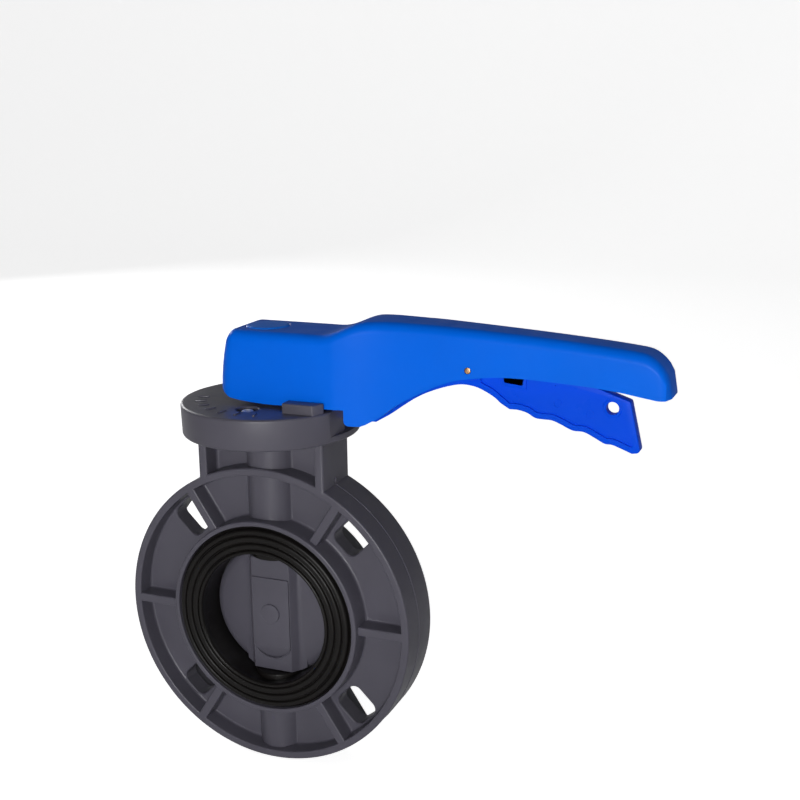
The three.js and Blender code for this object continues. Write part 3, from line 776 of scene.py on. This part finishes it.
def handle_solid(name, inset):
    """The handle's outer form, or its hollow when inset by the wall. Its underside is trimmed later."""
    top = curve_through(TOP_LINE, 4)
    side = curve_through(SIDE_LINE, 4)
    rear, tip = HEAD_REAR + inset, TIP_X - inset
    head_corner, tip_corner, crest = 10 - inset * 0.8, 5.5 - inset * 0.8, 7 - inset * 0.6
    stations = [rear + head_corner * (1 - math.cos(math.radians(a))) for a in range(0, 91, 6)]
    stations += [rear + head_corner + (tip - 26 - rear - head_corner) * k / 90 for k in range(1, 90)]
    stations += [tip - 26 * math.cos(math.radians(a)) for a in range(0, 91, 5)]
    rings = []
    for x in stations:
        half = at(side, x) - inset
        high = at(top, x) - inset
        if x < rear + head_corner:
            u = head_corner - (x - rear)
            half -= head_corner - math.sqrt(max(head_corner ** 2 - u * u, 0))
        if x < rear + crest:
            u = crest - (x - rear)
            high -= 0.86 * (crest - math.sqrt(max(crest ** 2 - (u * 0.97) ** 2, 0)))
        if x > tip - tip_corner:
            u = x - (tip - tip_corner)
            half -= tip_corner - math.sqrt(max(tip_corner ** 2 - u * u, 0))
        if x > tip - 17:
            u = (x - (tip - 17)) / 17
            high -= 15.5 * (1 - math.sqrt(max(1 - u ** 2.3, 0)))
        fillet = max(min(6.2 - inset * 0.6, half * 0.6), 1.2)
        crown = arc(half - fillet, high - fillet, fillet, 0, 90, 10)
        levels = [110.0, 128.0, *[128.0 + (crown[0][1] - 128.0) * k / 6 for k in range(1, 6)]]
        ring = [*[(half, z) for z in levels], *crown]
        full = [*ring, *[(-y, z) for y, z in reversed(ring)]]
        lean = REAR_LEAN * min(max((rear + 24 - x) / 24, 0), 1)
        rings.append([(x + lean * max(z - 140, 0) ** 2, y, z) for y, z in full])
    return loft(name, rings)


def underside():
    """Side view of what is left of the handle once its lower edge is trimmed."""
    heel = curve_through([
        (HEAD_REAR - 2, 149), (HEAD_REAR + 0.4, 144.5), (-21.4, 142), (-19, 140.5), (-15, 138.4),
        (-5, 137.0),
        (8, 136.2), (20, HEAD_LOW),
    ], 4)
    arch = curve_through([
        (70, 128.2), (79, 133.4), (88, 140.2), (101, 147.8), (112, 153.2), (122, 156.8),
        (133, 158.9), (146, 160.5),
        (158, 160.8), (171, 160.4), (195, 159.2), (213, 157.5), (226, 155.5), (234, 154.3),
    ], 5)
    return [
        (-32, 200), (-32, 149), *heel, (57.5, HEAD_LOW), *arc(57.5 + 3, HEEL_LOW + 3, 3, 180, 270, 5),
        (67, HEEL_LOW), *arch, (238, 154.3), (250, 156.5), (250, 200),
    ]


def handle_shell():
    shell = handle_solid("handle_shell", 0)
    hollow = handle_solid("hollow", WALL)
    cut(shell, [hollow])
    shell = keep_inside(shell, prism("outline", underside(), -40, 40, "XZ"))
    socket = revolve("socket", [(0, 137.0), (15.5, 137.0, 0.5), (15.5, HEAD_TOP - 1), (0, HEAD_TOP - 1)], 72)
    ribs = []
    for angle in (0, 90, 180, 270):
        reach = 20.5 if angle in (90, 270) else 20
        bar = prism("web", [(12, -1.2), (reach, -1.2), (reach, 1.2), (12, 1.2)], 140, 168, "XY")
        ribs.append(turned(bar, angle))
    join(shell, [socket, *ribs])
    square = rounded([(5.8, -5.8, 0.9), (5.8, 5.8, 0.9), (-5.8, 5.8, 0.9), (-5.8, -5.8, 0.9)], 3)
    return cut(shell, [
        prism("square", square, 130, 162.3, "XY"), rod("screw", 3.4, 160, 169, segments=24),
        rod("seat", 11, 168, CAP_SEAT + 0.4, segments=48),
        revolve("cap_seat", [(0, CAP_SEAT), (CAP_R + 0.25, CAP_SEAT), (CAP_R + 0.25, HEAD_TOP - 0.4),
                             (CAP_R + 0.7, HEAD_TOP + 0.05), (CAP_R + 0.7, 184), (0, 184)], 96),
        rod("pin_hole", 1.95, -30, 30, (PIVOT[0], 0, PIVOT[1]), "Y", segments=24),
    ])


def handle_cap():
    return revolve("handle_cap", [
        (0, CAP_SEAT + 0.3), (CAP_R, CAP_SEAT + 0.3, 0.3), (CAP_R, HEAD_TOP + 0.1, 0.6),
        (CAP_R - 1.6, HEAD_TOP + 0.6, 1), (0, HEAD_TOP + 0.75),
    ], 96)


# ---------- trigger ----------

GRIP = curve_through([
    (219.4, 121.7), (213.6, 123.9), (208.6, 125.6), (204.4, 125.9), (199, 128.6), (193, 131.3),
    (186.6, 131.7),
    (179.8, 134.6), (175, 136.3), (170, 136.5), (165.5, 136.9), (160.8, 139.4), (155.6, 140.6),
    (150.8, 140.6),
], 6)


def trigger_outline():
    front = curve_through([
        (145.6, 143.6), (140.3, 147.7), (130, 152), (118, 151.8), (98, 144.3), (78, 130.9),
    ], 5)
    top = curve_through([(59, 134.4), (68, 146), (84, 156.5), (106, 164.5), (124, 168.6)], 5)
    tail = rounded([(214.2, 151.6), (218.0, 150.3, 1.8), (224.2, 122.4, 3.6), (219.4, 121.7)], 6)[1:-1]
    return [
        (50.6, 126.8), (50.6, 133.6), *top, (143, 165.5), (144.8, 163), (160, 163), (199, 156.8),
        (214.2, 151.6),
        *tail, *GRIP, *front, (70, 126.2), (58, 126.2),
    ]


def offset_line(points, distance):
    """An open line moved sideways, to its right when the distance is positive."""
    out = []
    for i, point in enumerate(points):
        along = Vector(points[min(i + 1, len(points) - 1)]) - Vector(points[max(i - 1, 0)])
        along.normalize()
        out.append((point[0] + along.y * distance, point[1] - along.x * distance))
    return out


def trigger():
    leaf = prism("trigger", trigger_outline(), -3.7, 3.7, "XZ", 0.7)
    wave = [p for p in offset_line(GRIP, 3.3) if 150.5 < p[0] < 216.5]
    panel = [
        *rounded([(162.6, 158.9, 0.6), (199.4, 153.2, 1), (211.6, 149.1, 1.2),
        (215.0, 146.4, 1.5)], 4)[1:],
        (220.2, 126.4), (219.0, 125.2), *wave, (147.4, 146.6), (141, 151.4), (134, 154.6), (134, 157.5),
        (145.4, 157.5), (145.4, 153.7), (162.6, 151.4),
    ]
    cut(leaf, [prism("panel", panel, low, high, "XZ") for low, high in ((2.1, 6), (-6, -2.1))])
    frame_outline = rounded([
        (146.3, 154.3, 0.8), (160.6, 152.3, 0.8), (160.6, 163, 0.5), (146.3, 163, 0.5),
    ], 3)
    boss = rod("boss", 6.4, -10.4, 10.4, (PIVOT[0], 0, PIVOT[1]), "Y", 0.5, 48)
    eyelet = rod("eyelet", 5.3, -2.7, 2.7, (LOCK[0], 0, LOCK[1]), "Y", 0.4, 48)
    join(leaf, [prism("pocket", frame_outline, -4.7, 4.7, "XZ", 0.5), boss, eyelet])
    for x, z in ((154, 146.8), (178, 146.0), (196, 141.4)):
        ring = revolve("ejector", [(2.0, -2.9), (2.35, -2.9), (2.35, 2.9), (2.0, 2.9)], 32, "Y")
        keep = revolve("core", [(1.9, -1.9), (2.45, -1.9), (2.45, 1.9), (1.9, 1.9)], 32, "Y")
        cut(ring, [keep])
        cut(leaf, [moved(ring, (x, 0, z))])
    window = rounded([(148.0, 155.9, 0.5), (158.5, 154.8, 0.5), (158.5, 176, 0.5), (148.0, 176, 0.5)], 2)
    cut(leaf, [
        prism("window", window, -12, 12, "XZ"),
        rod("pin", 1.95, -20, 20, (PIVOT[0], 0, PIVOT[1]), "Y", segments=24),
        revolve_at("lock", [
            (0, -12), (3.8, -12), (3.8, -2.7), (3.5, -2.4), (3.5, 2.4), (3.8, 2.7), (3.8, 12), (0, 12),
        ], (LOCK[0], 0, LOCK[1])),
    ])
    post = rod("post", 1.4, 154, 159.5, (SPRING_X - 0.4, 0, 0), "Z", 0.4, 32)
    return join(leaf, [post])


def revolve_at(name, outline, place):
    return moved(revolve(name, outline, 40, "Y"), place)


def spring():
    """Compression spring with closed end turns and open coils between."""
    low, high = extent("trigger_spring")
    wire = 0.65
    r = high.x - SPRING_X - wire
    turns, per_turn, around = 8, 28, 10
    total = turns * per_turn
    bm = bmesh.new()
    rows = []
    bottom, top = low.z + 0.8 + wire, high.z - wire
    for i in range(total + 1):
        t = i / total
        a = t * turns * 2 * math.pi
        dead = 1.2 / turns
        if t < dead:
            z = bottom + (t / dead) * wire * 1.9
        elif t > 1 - dead:
            z = top - ((1 - t) / dead) * wire * 1.9
        else:
            lift = (t - dead) / (1 - 2 * dead)
            z = bottom + wire * 1.9 + (top - bottom - wire * 3.8) * lift
        out = Vector((math.cos(a), math.sin(a), 0))
        centre = Vector((SPRING_X, 0, z)) + out * r
        rows.append([
            bm.verts.new(centre + out * (wire * math.cos(b)) + Vector((0, 0, wire * math.sin(b))))
            for b in (2 * math.pi * k / around for k in range(around))
        ])
    for low_ring, high_ring in zip(rows, rows[1:]):
        for k in range(around):
            n = (k + 1) % around
            bm.faces.new((low_ring[k], low_ring[n], high_ring[n], high_ring[k]))
    bm.faces.new(rows[0])
    bm.faces.new(rows[-1])
    return new_object("spring", bm)


def pivot_pin():
    return rod("pin", 1.75, -14.3, 14.3, (PIVOT[0], 0, PIVOT[1]), "Y", 0.35, 32)


# ---------- assembly ----------

GREY = grey_pvc()
RUBBER = black_rubber()
BLUE = blue_abs("blue_abs", srgb(0, 104, 232), 0.36)
# Painted highlight: the cap's blue is made lighter than the handle's to stand in for the light the cap
# catches.
CAP_PAINTED_LIGHTER_BLUE = blue_abs("cap_painted_lighter_blue_abs", srgb(20, 124, 248), 0.3)
DEEP_BLUE = blue_abs("deep_blue_abs", srgb(2, 78, 228), 0.3)
STEEL = metal("steel", srgb(214, 214, 216), 0.42, (1, 1, 8))
ZINC = metal("zinc_plated_steel", srgb(226, 224, 222), 0.5, (1, 1, 8), 0.45)
BRASS = metal("brass", srgb(232, 178, 132), 0.34)
WHITE = acetal()


def place(obj, node, body_name, material, slot_name):
    obj.name = f"{node}_look"
    obj.data.materials.clear()
    obj.data.materials.append(material)
    obj.data.polygons.foreach_set("material_index", [0] * len(obj.data.polygons))
    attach(obj, body_name)
    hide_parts(node)
    return obj


place(body(), "body", "valve_body", GREY, "grey_pvc")
place(index_plate(), "index_plate", "valve_body", GREY, "grey_pvc")
place(liner(), "liner", "valve_body", RUBBER, "black_rubber")
place(disc(), "disc", "operator", GREY, "grey_pvc")
for index, spot in enumerate(screw_places(), 1):
    place(plate_screw(index, spot), f"plate_screw_{index}", "valve_body", ZINC, "steel")
place(handle_shell(), "handle_shell", "operator", BLUE, "blue_abs")
place(handle_cap(), "handle_cap", "operator", CAP_PAINTED_LIGHTER_BLUE, "blue_abs")
place(trigger(), "trigger", "trigger_lever", DEEP_BLUE, "deep_blue_abs")
place(pivot_pin(), "pivot_pin", "operator", BRASS, "brass")
coil = place(spring(), "trigger_spring", "operator", BRASS, "brass")
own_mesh(coil)

CARRIED = {
    "upper_bush": WHITE, "lower_bush": WHITE,
    "upper_seal_1": RUBBER, "upper_seal_2": RUBBER, "lower_seal": RUBBER,
    "thrust_washer": STEEL, "stem": STEEL, "stem_clip": STEEL, "handle_washer": STEEL, "handle_screw": STEEL,
}
for node_name, look in CARRIED.items():
    node = frame["nodes"][node_name]
    node.data.materials.clear()
    node.data.materials.append(look)
    crisp(node, 30)


# ---------- stage, lights and camera ----------

# How bright each is to other rays, and to the camera.
FLOOR_GLOW = (0.03, 0.8)
BACKDROP_GLOW = (0.04, 0.85)


def floor():
    """A pale floor under the valve that curves up far behind it."""
    low = cad_low.z
    bm = bmesh.new()
    profile = [(-3.0, low), (2.2, low)]
    profile += [(2.2 + 1.2 * math.sin(math.radians(a)), low + 1.2 * (1 - math.cos(math.radians(a))))
                for a in range(6, 91, 6)]
    profile += [(3.4, 4.5)]
    rows = [[bm.verts.new((x, y, z)) for x in (-6, 6)] for y, z in profile]
    for a, b in zip(rows, rows[1:]):
        bm.faces.new((a[0], a[1], b[1], b[0]))
    mesh = bpy.data.meshes.new("floor")
    bm.to_mesh(mesh)
    bm.free()
    obj = bpy.data.objects.new("floor", mesh)
    bpy.context.scene.collection.objects.link(obj)
    mesh.polygons.foreach_set("use_smooth", [True] * len(mesh.polygons))
    m = Material("floor", srgb(236, 236, 236), 0.7)
    m.set("Emission Color", (1, 1, 1, 1)).set("Specular IOR Level", 0.1)
    seen = m.nodes.new("ShaderNodeLightPath").outputs["Is Camera Ray"]
    m.links.new(m.spread(seen, *FLOOR_GLOW, 0, 1), m.shader.inputs["Emission Strength"])
    obj.data.materials.append(m.material)


def area_light(name, place_at, target, size, power):
    data = bpy.data.lights.new(name, "AREA")
    data.shape = "RECTANGLE"
    data.size, data.size_y = size
    data.energy = power
    obj = bpy.data.objects.new(name, data)
    obj.location = place_at
    obj.rotation_mode = "QUATERNION"
    obj.rotation_quaternion = (Vector(target) - Vector(place_at)).to_track_quat("-Z", "Y")
    bpy.context.scene.collection.objects.link(obj)


def world():
    """A pale backdrop that the camera sees brighter than the valve does."""
    w = bpy.data.worlds.new("world")
    w.use_nodes = True
    w.node_tree.nodes["Background"].inputs["Color"].default_value = (0.95, 0.97, 1, 1)
    backdrop = w.node_tree.nodes["Background"]
    levels = w.node_tree.nodes.new("ShaderNodeMapRange")
    levels.inputs["To Min"].default_value = BACKDROP_GLOW[0]
    levels.inputs["To Max"].default_value = BACKDROP_GLOW[1]
    path = w.node_tree.nodes.new("ShaderNodeLightPath")
    w.node_tree.links.new(path.outputs["Is Camera Ray"], levels.inputs["Value"])
    w.node_tree.links.new(levels.outputs["Result"], backdrop.inputs["Strength"])
    bpy.context.scene.world = w


def camera():
    """Seen from the front right and a little above, on a slightly tilted camera."""
    data = bpy.data.cameras.new("camera")
    data.lens, data.sensor_width = 57.28, 36
    data.clip_start, data.clip_end = 0.01, 50
    obj = bpy.data.objects.new("camera", data)
    obj.location = (0.3565, -0.6561, 0.3153)
    azimuth, down, roll = math.radians(22.56), math.radians(13.88), math.radians(0.80)
    forward = Vector((
        -math.sin(azimuth) * math.cos(down), math.cos(azimuth) * math.cos(down), -math.sin(down),
    ))
    right = forward.cross(Vector((0, 0, 1))).normalized()
    up = right.cross(forward)
    right, up = right * math.cos(roll) - up * math.sin(roll), up * math.cos(roll) + right * math.sin(roll)
    turn = Matrix((right, up, -forward)).transposed()
    obj.rotation_mode = "QUATERNION"
    obj.rotation_quaternion = turn.to_quaternion()
    bpy.context.scene.collection.objects.link(obj)
    bpy.context.scene.camera = obj


bpy.context.scene.view_settings.view_transform = "Standard"
floor()
world()
area_light("key", (0.4, -1.74, 0.36), (0, 0, 0.05), (0.7, 0.4), 21)
area_light("left", (-1.4, 0.35, 0.95), (0, 0, 0.08), (0.3, 0.8), 2)
area_light("right", (1.6, -0.1, 0.3), (0.1, 0, 0.0), (0.3, 0.6), 1.5)
area_light("back", (-1.6, 1.2, 0.7), (0, 0, 0.05), (0.8, 0.8), 12)
area_light("glint", (1.1, -0.8, 1.4), (0, 0, 0.05), (0.35, 0.35), 1.6)
camera()

bpy.context.view_layer.update()
